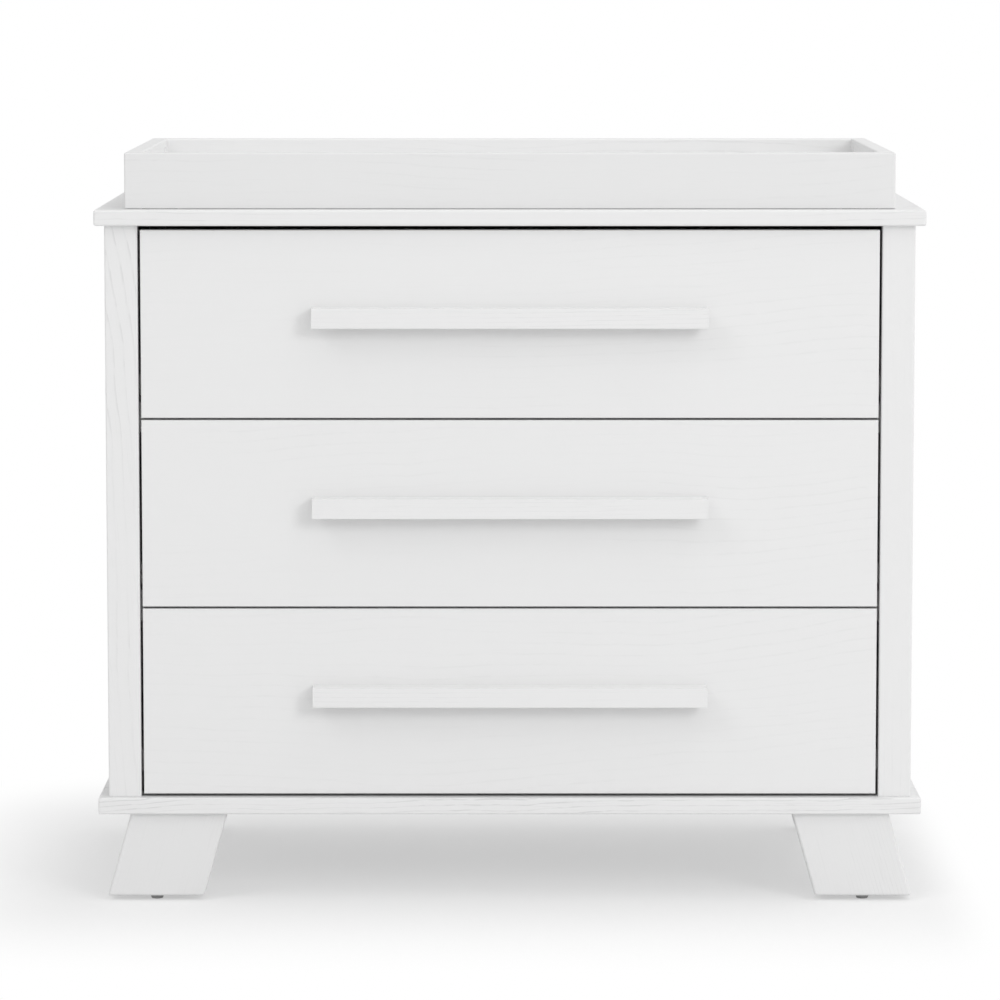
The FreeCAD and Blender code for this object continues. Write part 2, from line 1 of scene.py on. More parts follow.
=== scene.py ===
"""White lacquered changing dresser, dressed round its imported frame.

The boards that show are built here with eased edges and an open-pored lacquer over each board's
own figure. The inner frame, the drawer boxes and the slides keep their solids and get finishes.
Everything is in metres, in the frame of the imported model, with the drawers facing -Y.
"""
from __future__ import annotations

import json
import logging
import math
from dataclasses import dataclass, field, replace
from enum import Enum
from typing import Any, Callable, Sequence, Union

import bmesh
import bpy
from mathutils import Matrix, Vector

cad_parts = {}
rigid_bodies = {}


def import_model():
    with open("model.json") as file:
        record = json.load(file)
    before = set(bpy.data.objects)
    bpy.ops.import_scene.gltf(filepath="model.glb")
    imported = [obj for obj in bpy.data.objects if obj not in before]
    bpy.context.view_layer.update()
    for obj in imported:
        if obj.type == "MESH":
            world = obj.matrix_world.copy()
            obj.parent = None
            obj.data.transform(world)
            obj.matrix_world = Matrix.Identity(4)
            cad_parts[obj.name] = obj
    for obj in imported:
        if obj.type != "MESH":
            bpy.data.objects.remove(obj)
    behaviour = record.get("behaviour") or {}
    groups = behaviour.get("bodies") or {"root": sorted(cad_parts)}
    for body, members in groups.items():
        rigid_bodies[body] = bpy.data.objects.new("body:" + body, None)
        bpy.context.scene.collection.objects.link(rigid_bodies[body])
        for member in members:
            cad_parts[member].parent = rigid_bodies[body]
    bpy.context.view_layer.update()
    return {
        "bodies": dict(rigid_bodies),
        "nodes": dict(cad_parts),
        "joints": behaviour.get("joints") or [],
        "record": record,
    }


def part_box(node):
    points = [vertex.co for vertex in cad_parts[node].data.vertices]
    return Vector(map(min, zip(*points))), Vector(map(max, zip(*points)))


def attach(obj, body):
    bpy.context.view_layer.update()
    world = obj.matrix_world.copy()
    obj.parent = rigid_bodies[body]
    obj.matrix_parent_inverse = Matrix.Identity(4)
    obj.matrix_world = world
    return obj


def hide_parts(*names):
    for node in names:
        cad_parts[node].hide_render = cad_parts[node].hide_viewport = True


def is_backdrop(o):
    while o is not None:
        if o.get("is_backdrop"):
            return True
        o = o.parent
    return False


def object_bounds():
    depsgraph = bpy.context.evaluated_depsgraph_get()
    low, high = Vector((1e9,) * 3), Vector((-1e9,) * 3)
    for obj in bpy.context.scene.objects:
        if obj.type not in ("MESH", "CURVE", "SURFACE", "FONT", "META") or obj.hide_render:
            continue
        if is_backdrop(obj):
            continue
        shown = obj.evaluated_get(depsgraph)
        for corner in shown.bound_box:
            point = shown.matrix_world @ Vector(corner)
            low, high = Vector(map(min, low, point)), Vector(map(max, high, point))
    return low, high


log = logging.getLogger("changing_dresser")

MILLIMETRE = 0.001
TOUCH = 0.00001  # places that are closer than this, in metres, count as one
SNAP = 0.0000001  # a corner that is closer than this to a cutting plane is taken as on it
WHITE = (1.0, 1.0, 1.0, 1.0)
Colour = tuple[float, float, float]
Number = Union["Field", float]
Pattern = tuple["Field", "Field", "Field"]
EasingRule = Callable[[Vector, Vector], float]


class Grain(Enum):
    """The axis that a board's grain runs along, with the two axes across it."""

    ALONG_X = (0, 2, 1)
    ALONG_Y = (1, 2, 0)
    ALONG_Z = (2, 0, 1)


class Eased(Enum):
    """Which edges of a board are rounded over. The others only lose their sharpness."""

    ALL = "every edge"
    FACE = "the edges round the front face"
    LENGTH = "the edges along the grain"
    CREST = "the upper edges along the grain"
    RIM = "the upper and the upright edges"
    NONE = "no edge"


class Facing(Enum):
    """The way that a fastener's head faces."""

    LEFT = (-1.0, 0.0, 0.0)
    RIGHT = (1.0, 0.0, 0.0)
    BACK = (0.0, 1.0, 0.0)
    UP = (0.0, 0.0, 1.0)


# --- Shader nodes ---


class Field:
    """A value that varies over a surface: one output socket, with the sums done on it."""

    def __init__(self, sheet: Sheet, socket: bpy.types.NodeSocket | None) -> None:
        """Wraps an output socket of a node on a sheet."""
        self.sheet = sheet
        self.socket = socket

    def __add__(self, other: Number) -> Field:
        """The sum of two values."""
        return self.sheet.maths("ADD", self, other)

    def __radd__(self, other: Number) -> Field:
        """The sum, with the number written first."""
        return self.sheet.maths("ADD", other, self)

    def __sub__(self, other: Number) -> Field:
        """The difference of two values."""
        return self.sheet.maths("SUBTRACT", self, other)

    def __rsub__(self, other: Number) -> Field:
        """The difference, with the number written first."""
        return self.sheet.maths("SUBTRACT", other, self)

    def __mul__(self, other: Number) -> Field:
        """The product of two values."""
        return self.sheet.maths("MULTIPLY", self, other)

    def __rmul__(self, other: Number) -> Field:
        """The product, with the number written first."""
        return self.sheet.maths("MULTIPLY", other, self)

    def __truediv__(self, other: Number) -> Field:
        """The quotient of two values."""
        return self.sheet.maths("DIVIDE", self, other)

    def __rtruediv__(self, other: Number) -> Field:
        """The quotient, with the number written first."""
        return self.sheet.maths("DIVIDE", other, self)

    def __pow__(self, other: Number) -> Field:
        """The value raised to a power."""
        return self.sheet.maths("POWER", self, other)

    def __rpow__(self, other: Number) -> Field:
        """A number raised to the value."""
        return self.sheet.maths("POWER", other, self)


class Sheet:
    """A node tree under construction, and the one place where nodes are added to it."""

    def __init__(self, tree: bpy.types.NodeTree) -> None:
        """Clears the node tree of a material or a world and takes it over."""
        self.tree = tree
        self.tree.nodes.clear()

    def add(self, kind: str, settings: dict[str, Any] | None = None,
            sockets: dict[Any, Any] | None = None, output: int | str = 0) -> Field:
        """Adds one node.

        Args:
            kind: the node's type.
            settings: the node's own properties, or a ramp's stops, which are set first.
            sockets: a value or a Field for each input socket, by name or number.
            output: which output to hand back.

        Returns:
            The chosen output.
        """
        node = self.tree.nodes.new(kind)
        for key, value in (settings or {}).items():
            if key == "stops":
                self._set_stops(node.color_ramp, value)
            else:
                setattr(node, key, value)
        for key, value in (sockets or {}).items():
            if isinstance(value, Field):
                self.tree.links.new(value.socket, node.inputs[key])
            else:
                node.inputs[key].default_value = value
        return Field(self, node.outputs[output]) if node.outputs else Field(self, None)

    @staticmethod
    def _set_stops(ramp: bpy.types.ColorRamp, stops: Sequence[tuple[float, float]]) -> None:
        """Gives a ramp its stops.

        Args:
            ramp: the ramp of a colour ramp node.
            stops: position and grey level of each stop, in order.
        """
        while len(ramp.elements) < len(stops):
            ramp.elements.new(1.0)
        for element, (position, level) in zip(ramp.elements, stops):
            element.position = position
            element.color = (level, level, level, 1.0)

    def maths(self, operation: str, *values: Number) -> Field:
        """A Math node on numbers and fields."""
        return self.add("ShaderNodeMath", {"operation": operation}, dict(enumerate(values)))

    def vector(self, x: Number, y: Number, z: Number) -> Field:
        """Three values joined to one vector."""
        return self.add("ShaderNodeCombineXYZ", None, {0: x, 1: y, 2: z})

    def noise(self, place: Field, scale: float, detail: float = 2.0,
              roughness: float = 0.5) -> Field:
        """Fractal noise from 0 to 1 at a place."""
        return self.add("ShaderNodeTexNoise", None, {
            "Vector": place, "Scale": scale, "Detail": detail, "Roughness": roughness})

    def drawn(self, axes: Sequence[Field], along: float, across: float, detail: float = 2.0,
              roughness: float = 0.5) -> Field:
        """Noise with one scale along the first of three axes and another across it."""
        place = self.vector(axes[0] * along, axes[1] * across, axes[2] * across)
        return self.noise(place, 1.0, detail, roughness)

    def ramp(self, value: Field, stops: Sequence[tuple[float, float]]) -> Field:
        """A value read through a ramp of grey levels."""
        return self.add("ShaderNodeValToRGB", {"stops": stops}, {0: value})

    def rise(self, value: Field, low: float, high: float) -> Field:
        """Nothing up to one value, one from another value on, and straight between them."""
        return self.ramp(value, ((0.0, 0.0), (low, 0.0), (high, 1.0), (1.0, 1.0)))

    def smoothed(self, value: Field, span: tuple[float, float],
                 levels: tuple[float, float]) -> Field:
        """A level that goes smoothly from one to another while a value crosses a span."""
        return self.add("ShaderNodeMapRange", {"interpolation_type": "SMOOTHSTEP"}, {
            0: value, 1: span[0], 2: span[1], 3: levels[0], 4: levels[1]})

    def blend(self, factor: Field, first: Colour, second: Colour) -> Field:
        """A colour between two, by a factor from 0 to 1."""
        return self.add("ShaderNodeMix", {"data_type": "RGBA"},
                        {0: factor, 6: (*first, 1.0), 7: (*second, 1.0)}, output=2)

    def bump(self, height: Field, depth: float) -> Field:
        """A normal from a height of 0 to 1 that stands for a depth in metres."""
        return self.add("ShaderNodeBump", None, {
            "Strength": 1.0, "Distance": depth, "Height": height})

    def place(self) -> Field:
        """The place on the piece, as one vector in metres."""
        return self.add("ShaderNodeTexCoord", output="Object")

    def object_axes(self) -> tuple[Field, Field, Field]:
        """The place on the piece, as three values in metres."""
        split = self.add("ShaderNodeSeparateXYZ", None, {0: self.place()}).socket.node
        return tuple(Field(self, output) for output in split.outputs)


def new_material(name: str) -> tuple[bpy.types.Material, Sheet]:
    """An empty material and the sheet that its nodes go on.

    Args:
        name: the material's name.

    Returns:
        The material and its sheet.
    """
    material = bpy.data.materials.new(name)
    material.use_nodes = True
    return material, Sheet(material.node_tree)


def surface(sheet: Sheet, sockets: dict[str, Any]) -> None:
    """Ends a material in a principled surface with these values and fields in its sockets."""
    shader = sheet.add("ShaderNodeBsdfPrincipled", None, sockets)
    sheet.add("ShaderNodeOutputMaterial", None, {"Surface": shader})


# --- Finishes ---


def grey(level: float) -> Colour:
    """A neutral colour."""
    return (level, level, level)


@dataclass(frozen=True)
class Lacquer:
    """White satin lacquer, which fills the wood but for fine lines along some growth rings."""

    tone: float = 0.835
    shade: float = 0.64
    roughness: float = 0.36
    specular: float = 0.42
    ring_pitch: float = 0.008
    ring_depth: float = 0.00005
    pith_depth: float = 0.030
    sway: float = 0.030
    ripple: float = 0.0022
    figure: float = 0.30
    cover: float = 0.50

    def material(self, name: str, grain: Grain, heart: Vector, seed: float,
                 lean: float = 0.0) -> bpy.types.Material:
        """The finish of one board.

        Args:
            name: the material's name.
            grain: the axis that the grain runs along.
            heart: the point that the growth rings are centred near.
            seed: where along an endless plank this board was cut.
            lean: angle of the grain from that axis, in radians.

        Returns:
            The material.
        """
        material, sheet = new_material(name)
        axes = sheet.object_axes()
        along_axis, across_axis, deep_axis = grain.value
        along_there = axes[along_axis] - heart[along_axis]
        across_there = axes[across_axis] - heart[across_axis]
        along = along_there * math.cos(lean) + across_there * math.sin(lean) + seed
        across = across_there * math.cos(lean) - along_there * math.sin(lean)
        deep = axes[deep_axis] - (heart[deep_axis] + self.pith_depth)
        wood = (along, across, deep)

        # Growth rings round a heart that wanders along the board
        wander = sheet.drawn(wood, 2.1, 3.0, 3.0) - 0.5
        wide = sheet.noise(sheet.vector(along * 0.8, seed, 0.0), 1.0, 1.0) - 0.5
        waves = sheet.drawn(wood, 26.0, 34.0) - 0.5
        off_heart = across + wide * (self.sway * 4)
        radius = (off_heart ** 2 + deep ** 2) ** 0.5
        rings = (radius + wander * self.sway + waves * self.ripple) / self.ring_pitch
        phase = sheet.maths("FRACT", rings)
        late = sheet.ramp(phase, ((0.0, 0.0), (0.74, 0.0), (0.90, 1.0), (0.95, 1.0), (1.0, 0.0)))

        # The lacquer has sunk in only here and there, in short strokes along the rings
        sunk = sheet.rise(sheet.drawn(wood, 2.6, 11.0), self.cover - 0.06, self.cover + 0.14)
        strokes = sheet.rise(sheet.drawn(wood, 48.0, 300.0, roughness=0.6), 0.44, 0.56)
        lines = late * sunk * (strokes * 0.75 + 0.25)

        # Fine pores and the skin of the lacquer
        strands = sheet.drawn(wood, 14.0, 520.0, roughness=0.6)
        pits = sheet.ramp(strands, ((0.0, 1.0), (0.30, 1.0), (0.40, 0.0), (1.0, 0.0)))
        skin = sheet.drawn(wood, 70.0, 190.0)

        worn = lines * self.figure + pits * (self.figure * 0.30) + late * (self.figure * 0.035)
        surface(sheet, {
            "Base Color": sheet.blend(worn, grey(self.tone), grey(self.shade)),
            "Roughness": lines * 0.12 + skin * 0.06 + (self.roughness - 0.03),
            "Specular IOR Level": self.specular,
            "Normal": sheet.bump(skin * 0.10 - lines * 0.8 - pits * 0.3, self.ring_depth),
        })
        return material


@dataclass(frozen=True)
class Finish:
    """A finish that isn't tied to one board: two colours that a pattern mixes, and a relief."""

    tone: Colour = grey(0.80)
    shade: Colour = grey(0.70)
    roughness: float = 0.5
    unevenness: float = 0.14
    specular: float = 0.5
    relief: float = 0.00003
    extras: tuple[tuple[str, Any], ...] = ()

    def pattern(self, sheet: Sheet) -> Pattern:
        """The share of the shade, the unevenness of the gloss and the height, from 0 to 1."""
        raise NotImplementedError

    def material(self, name: str) -> bpy.types.Material:
        """The finish, ready to assign.

        Args:
            name: the material's name.

        Returns:
            The material.
        """
        material, sheet = new_material(name)
        mask, gloss, height = self.pattern(sheet)
        surface(sheet, {
            "Base Color": sheet.blend(mask, self.tone, self.shade),
            "Roughness": gloss * self.unevenness + (self.roughness - self.unevenness / 2),
            "Specular IOR Level": self.specular,
            "Normal": sheet.bump(height, self.relief),
            **dict(self.extras),
        })
        return material


@dataclass(frozen=True)
class CoatedBoard(Finish):
    """White foil or primer on drawer boards and the inner frame, with a faint printed grain."""

    shade: Colour = grey(0.765)
    roughness: float = 0.52
    unevenness: float = 0.10
    specular: float = 0.38
    relief: float = 0.00004
    grain: Grain = Grain.ALONG_X

    def pattern(self, sheet: Sheet) -> Pattern:
        """Streaks and fibres along the grain.

        Args:
            sheet: the sheet that the nodes go on.

        Returns:
            The shade, the gloss and the height.
        """
        place = sheet.object_axes()
        axes = [place[axis] for axis in self.grain.value]
        streaks = sheet.drawn(axes, 5.0, 130.0, 3.0, 0.6)
        fibres = sheet.drawn(axes, 40.0, 700.0)
        return sheet.rise(streaks, 0.38, 0.66), fibres, streaks * 0.5 + fibres * 0.5


@dataclass(frozen=True)
class Hardboard(Finish):
    """Thin pressed board, white on its face, with a mottle of short fibres."""

    tone: Colour = grey(0.79)
    roughness: float = 0.62
    specular: float = 0.30
    relief: float = 0.00009

    def pattern(self, sheet: Sheet) -> Pattern:
        """Short fibres over a soft mottle.

        Args:
            sheet: the sheet that the nodes go on.

        Returns:
            The shade, the gloss and the height.
        """
        place = sheet.place()
        mottle = sheet.noise(place, 55.0, 4.0, 0.65)
        fibres = sheet.noise(place, 620.0, 3.0, 0.6)
        return sheet.rise(fibres, 0.47, 0.68) * mottle, mottle, fibres * 0.6 + mottle * 0.4


@dataclass(frozen=True)
class PowderCoat(Finish):
    """Baked powder on rolled steel, with its shallow orange peel, rubbed where it slides."""

    tone: Colour = (0.80, 0.80, 0.785)
    shade: Colour = (0.73, 0.73, 0.71)
    roughness: float = 0.36
    unevenness: float = 0.12
    relief: float = 0.00005

    def pattern(self, sheet: Sheet) -> Pattern:
        """Orange peel, a faint cloud and rubbed streaks from front to back.

        Args:
            sheet: the sheet that the nodes go on.

        Returns:
            The shade, the gloss and the height.
        """
        across, deep, up = sheet.object_axes()
        peel = sheet.noise(sheet.place(), 420.0, 2.0)
        cloud = sheet.noise(sheet.place(), 38.0, 3.0)
        rubs = sheet.noise(sheet.vector(across * 500.0, deep * 14.0, up * 500.0), 1.0, 3.0)
        rubbed = sheet.rise(rubs, 0.62, 0.74)
        return rubbed * 0.5 + cloud * 0.2, cloud, peel


@dataclass(frozen=True)
class Nylon(Finish):
    """Moulded nylon, a little translucent, with fine turning marks round its axis."""

    tone: Colour = (0.80, 0.80, 0.775)
    shade: Colour = (0.72, 0.72, 0.69)
    roughness: float = 0.44
    specular: float = 0.45
    extras: tuple[tuple[str, Any], ...] = (
        ("Subsurface Weight", 0.06), ("Subsurface Radius", (0.004, 0.004, 0.0035)))

    def pattern(self, sheet: Sheet) -> Pattern:
        """Turning marks over a faint cloud.

        Args:
            sheet: the sheet that the nodes go on.

        Returns:
            The shade, the gloss and the height.
        """
        cloud = sheet.noise(sheet.place(), 150.0, 3.0)
        marks = sheet.drawn(sheet.object_axes(), 2600.0, 40.0, 1.0)
        return cloud, marks, marks * 0.7 + cloud * 0.3


@dataclass(frozen=True)
class ZincPlate(Finish):
    """Bright zinc plating with the crystals and scuffs of small hardware."""

    tone: Colour = (0.66, 0.67, 0.69)
    shade: Colour = (0.47, 0.48, 0.51)
    roughness: float = 0.35
    unevenness: float = 0.20
    extras: tuple[tuple[str, Any], ...] = (("Metallic", 1.0),)

    def pattern(self, sheet: Sheet) -> Pattern:
        """Crystals, a cloud and scuffs.

        Args:
            sheet: the sheet that the nodes go on.

        Returns:
            The shade, the gloss and the height.
        """
        place = sheet.place()
        crystals = sheet.add("ShaderNodeTexVoronoi", None, {"Vector": place, "Scale": 900.0})
        cloud = sheet.noise(place, 190.0, 3.0)
        scuffs = sheet.drawn(sheet.object_axes(), 160.0, 900.0, 3.0)
        return cloud * 0.6 + crystals * 0.4, scuffs, scuffs * 0.6 + crystals * 0.4


@dataclass(frozen=True)
class Felt(Finish):
    """Pressed felt: matted fibres and a little sheen."""

    tone: Colour = grey(0.34)
    shade: Colour = grey(0.22)
    roughness: float = 0.95
    unevenness: float = 0.0
    relief: float = 0.0003
    extras: tuple[tuple[str, Any], ...] = (("Sheen Weight", 0.25),)

    def pattern(self, sheet: Sheet) -> Pattern:
        """Matted fibres, which are as dull everywhere."""
        fibres = sheet.noise(sheet.place(), 1300.0, 5.0, 0.7)
        return fibres, fibres, fibres


# --- Pieces ---


def put_in_scene(name: str, content: bpy.types.ID) -> bpy.types.Object:
    """Makes an object and links it to the scene.

    Args:
        name: the object's name.
        content: its mesh, lamp or camera.

    Returns:
        The object.
    """
    thing = bpy.data.objects.new(name, content)
    bpy.context.scene.collection.objects.link(thing)
    return thing


def smooth_piece(name: str, shape: bmesh.types.BMesh, crease: float = 0.0) -> bpy.types.Object:
    """Turns a mesh in construction into a smoothly shaded piece.

    Args:
        name: the name of the piece and its mesh.
        shape: the mesh in construction, which is used up.
        crease: the angle in degrees from which a corner is kept sharp, or 0 for the marks it has.

    Returns:
        The piece.
    """
    mesh = bpy.data.meshes.new(name)
    shape.to_mesh(mesh)
    shape.free()
    mesh.shade_smooth()
    if crease:
        mesh.set_sharp_from_angle(angle=math.radians(crease))
    return put_in_scene(name, mesh)


# --- Wood ---


@dataclass
class Blank:
    """A piece of wood: an outline swept along one axis, each edge with its own rounding.

    A pocket is a box that is let into a face across the X axis.
    """

    name: str
    outline: Sequence[tuple[float, float]]
    sweep: int
    start: float
    end: float
    easing: EasingRule
    steps: int = 3
    crease: float = 20.0
    pockets: list[tuple[Vector, Vector]] = field(default_factory=list)

    def place(self, first: float, second: float, along: float) -> Vector:
        """A point from its place in the outline and its place along the sweep."""
        point = (first, second)
        return Vector((*point[:self.sweep], along, *point[self.sweep:]))

    def shape(self) -> bmesh.types.BMesh:
        """The swept outline.

        Returns:
            A closed mesh in construction.
        """
        shape = bmesh.new()
        near = [shape.verts.new(self.place(u, v, self.start)) for u, v in self.outline]
        far = [shape.verts.new(self.place(u, v, self.end)) for u, v in self.outline]
        shape.faces.new(near)
        shape.faces.new(list(reversed(far)))
        count = len(near)
        for index in range(count):
            after = (index + 1) % count
            shape.faces.new((near[after], near[index], far[index], far[after]))
        bmesh.ops.recalc_face_normals(shape, faces=shape.faces)
        return shape

    def weigh(self, shape: bmesh.types.BMesh) -> float:
        """Writes each edge's rounding on it.

        Args:
            shape: the mesh in construction.

        Returns:
            The largest rounding.
        """
        layer = shape.edges.layers.float.new("bevel_weight_edge")
        radii = [self.easing(edge.verts[0].co, edge.verts[1].co) for edge in shape.edges]
        widest = max(radii)
        for edge, radius in zip(shape.edges, radii):
            edge[layer] = radius / widest
        return widest

    def keep_sharp(self, shape: bmesh.types.BMesh) -> None:
        """Marks the corners that aren't rounded, so that their faces are shaded flat up to them.

        Args:
            shape: the mesh in construction.
        """
        layer = shape.edges.layers.float["bevel_weight_edge"]
        for edge in shape.edges:
            if edge[layer] == 0.0 and edge.calc_face_angle(0.0) > math.radians(self.crease):
                edge.smooth = False

    def sink_pocket(self, shape: bmesh.types.BMesh, low: Vector, high: Vector) -> None:
        """Lets one pocket in.

        Args:
            shape: the mesh in construction.
            low: the pocket's lowest corner.
            high: its highest corner. One of the two X values lies on the face.
        """
        for axis in (1, 2):
            for level in (low[axis], high[axis]):
                plane = Vector((0.0, 0.0, 0.0))
                plane[axis] = 1.0
                bmesh.ops.bisect_plane(shape, geom=shape.verts[:] + shape.edges[:] + shape.faces[:],
                                       plane_co=plane * level, plane_no=plane, dist=SNAP)
        middle = (low + high) / 2
        half = (high - low) / 2
        for face in shape.faces:
            centre = face.calc_center_median()
            on_face = min(abs(centre.x - low.x), abs(centre.x - high.x)) < TOUCH
            if on_face and all(abs(centre[a] - middle[a]) < half[a] for a in (1, 2)):
                sunk = bmesh.ops.extrude_face_region(shape, geom=[face])
                inwards = -face.normal * (high.x - low.x)
                moved = [item for item in sunk["geom"] if isinstance(item, bmesh.types.BMVert)]
                bmesh.ops.translate(shape, verts=moved, vec=inwards)
                bmesh.ops.delete(shape, geom=[face], context="FACES_ONLY")
                return

    def piece(self) -> bpy.types.Object:
        """The finished piece, with live rounded edges.

        Returns:
            The object, linked to the scene.
        """
        shape = self.shape()
        widest = self.weigh(shape)
        for low, high in self.pockets:
            self.sink_pocket(shape, low, high)
        self.keep_sharp(shape)
        piece = smooth_piece(self.name, shape)
        rounding = piece.modifiers.new("eased edges", "BEVEL")
        rounding.width = widest
        rounding.segments = self.steps
        rounding.limit_method = "WEIGHT"
        rounding.harden_normals = True
        return piece


def level_with(first: Vector, last: Vector, axis: int, value: float) -> bool:
    """Whether both ends of an edge lie on a plane across one axis."""
    return abs(first[axis] - value) < TOUCH and abs(last[axis] - value) < TOUCH


@dataclass
class Board:
    """One lacquered board that stands for a node of the frame.

    Its heart, which the growth rings are centred near, is given as shares of the node's box from
    its lowest corner. Along the grain it is always the middle.
    """

    node: str
    body: str
    grain: Grain
    eased: Eased
    radius: float
    seed: float
    finish: Lacquer = field(default_factory=Lacquer)
    arris: float = 0.4 * MILLIMETRE
    heart: tuple[float, float, float] = (-0.35, -0.35, -0.35)
    tilt: float = 0.0

    def corners(self) -> tuple[Vector, Vector]:
        """The lowest and highest corner of the node that the board stands for."""
        low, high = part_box(self.node)
        return Vector(low), Vector(high)

    def easing(self) -> EasingRule:
        """The rounding of each edge.

        Returns:
            A rule that takes an edge's ends and gives a radius in metres.
        """
        low, high = self.corners()

        def rule(first: Vector, last: Vector) -> float:
            """The rounding of the edge between two corners.

            Args:
                first: one end of the edge.
                last: its other end.

            Returns:
                The radius in metres.
            """
            on_face = level_with(first, last, 1, low.y)
            on_top = level_with(first, last, 2, high.z)
            lengthwise = all(abs(first[a] - last[a]) < TOUCH for a in self.grain.value[1:])
            upright = abs(first.z - last.z) > TOUCH
            chosen = {
                Eased.ALL: True,
                Eased.FACE: on_face,
                Eased.LENGTH: lengthwise,
                Eased.CREST: lengthwise and on_top,
                Eased.RIM: upright or on_top,
                Eased.NONE: False,
            }[self.eased]
            return self.radius if chosen else self.arris

        return rule

    def blank(self) -> Blank:
        """The board's wood, from the node's own box.

        Returns:
            The wood, not yet built.
        """
        low, high = self.corners()
        outline = ((low.y, low.z), (high.y, low.z), (high.y, high.z), (low.y, high.z))
        return Blank(self.node + "_board", outline, 0, low.x, high.x, self.easing())

    def lean(self) -> float:
        """The angle of the grain from its axis."""
        return self.tilt

    def build(self) -> None:
        """Builds the board, lacquers it and puts it in its node's place."""
        piece = self.blank().piece()
        low, high = self.corners()
        along = self.grain.value[0]
        heart = low + (high - low) * Vector(self.heart)
        heart[along] = (low + high)[along] / 2
        lacquer = self.finish.material("lacquer_" + self.node, self.grain, heart, self.seed,
                                       self.lean())
        piece.data.materials.append(lacquer)
        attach(piece, self.body)
        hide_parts(self.node)
        log.info("built %s", piece.name)


@dataclass
class HandleBar(Board):
    """A bar handle: a lip that hangs down in front of a finger groove."""

    groove_depth: float = 15.0 * MILLIMETRE
    groove_height: float = 9.0 * MILLIMETRE
    groove_radius: float = 4.0 * MILLIMETRE
    groove_steps: int = 8

    def blank(self) -> Blank:
        """The bar, from its section, with the edges against the drawer front left square.

        Returns:
            The bar, not yet built.
        """
        low, high = self.corners()
        inner_y = high.y - self.groove_depth
        roof_z = low.z + self.groove_height
        outline = [(low.y, low.z), (inner_y, low.z)]
        for step in range(self.groove_steps + 1):
            angle = math.pi - math.pi / 2 * step / self.groove_steps
            outline.append((inner_y + self.groove_radius * (1 + math.cos(angle)),
                            roof_z - self.groove_radius * (1 - math.sin(angle))))
        outline += [(high.y, roof_z), (high.y, high.z), (low.y, high.z)]

        def rule(first: Vector, last: Vector) -> float:
            """Square at the back and inside the groove, rounded elsewhere.

            Args:
                first: one end of the edge.
                last: its other end.

            Returns:
                The radius in metres.
            """
            in_groove = min(first.y, last.y) > inner_y + TOUCH or (
                abs(first.x - last.x) > TOUCH and first.z > low.z + TOUCH
                and abs(first.y - inner_y) < TOUCH)
            if in_groove and not level_with(first, last, 2, high.z):
                return 0.0
            if level_with(first, last, 1, high.y):
                return 0.0
            on_lip = level_with(first, last, 2, low.z) or level_with(first, last, 1, low.y)
            return self.radius if on_lip or level_with(first, last, 2, high.z) else self.arris

        return Blank(self.node + "_bar", outline, 0, low.x, high.x, rule)


@dataclass
class TrayEnd(Board):
    """A side board of the tray, with the stopped kerf near its back end."""

    kerf_width: float = 1.6 * MILLIMETRE
    kerf_depth: float = 3.0 * MILLIMETRE
    kerf_setback: float = 38.0 * MILLIMETRE
    kerf_top: float = 8.6 * MILLIMETRE
    kerf_bottom: float = 9.0 * MILLIMETRE

    def blank(self) -> Blank:
        """The board with its kerf, which is let into the face towards the middle.

        Returns:
            The board, not yet built.
        """
        low, high = self.corners()
        near_y = high.y - self.kerf_setback
        x_low = high.x - self.kerf_depth if high.x < 0 else low.x
        pocket_low = Vector((x_low, near_y, low.z + self.kerf_bottom))
        pocket_high = Vector((x_low + self.kerf_depth, near_y + self.kerf_width,
                              high.z - self.kerf_top))
        blank = super().blank()
        blank.pockets.append((pocket_low, pocket_high))
        return blank


@dataclass
class SplayedLeg(Board):
    """A slab leg whose foot stands outside its head."""

    splay: float = 27.0 * MILLIMETRE
    tenon: float = 6.0 * MILLIMETRE

    def head_height(self) -> float:
        """The level of the leg's shoulder, under the tenon that goes into the base."""
        return self.corners()[1].z - self.tenon

    def side(self) -> float:
        """Minus one for a leg on the left, one for a leg on the right."""
        low, high = self.corners()
        return math.copysign(1.0, low.x + high.x)

    def foot(self) -> Vector:
        """The point on the floor under the middle of the foot."""
        middle = sum(self.corners(), Vector()) / 2
        return Vector((middle.x + self.side() * self.splay / 2, middle.y, 0.0))

    def lean(self) -> float:
        """The grain follows the slanted edges."""
        rise = self.head_height() - self.corners()[0].z
        return self.side() * -math.atan2(self.splay, rise)

    def blank(self) -> Blank:
        """The slab, from the node's box and the splay.

        Returns:
            The slab, not yet built.
        """
        low, high = self.corners()
        head = self.head_height()
        at_left, at_right = (0.0, self.splay) if self.side() < 0 else (self.splay, 0.0)
        outline = ((low.x + at_left, low.z), (high.x - at_right, low.z),
                   (high.x - at_left, head), (low.x + at_right, head))

        def rule(first: Vector, last: Vector) -> float:
            """Every edge is rounded but those that meet the base."""
            return 0.0 if level_with(first, last, 2, head) else self.radius

        return Blank(self.node + "_slab", outline, 1, low.y, high.y, rule)


# --- Turned parts and fasteners ---


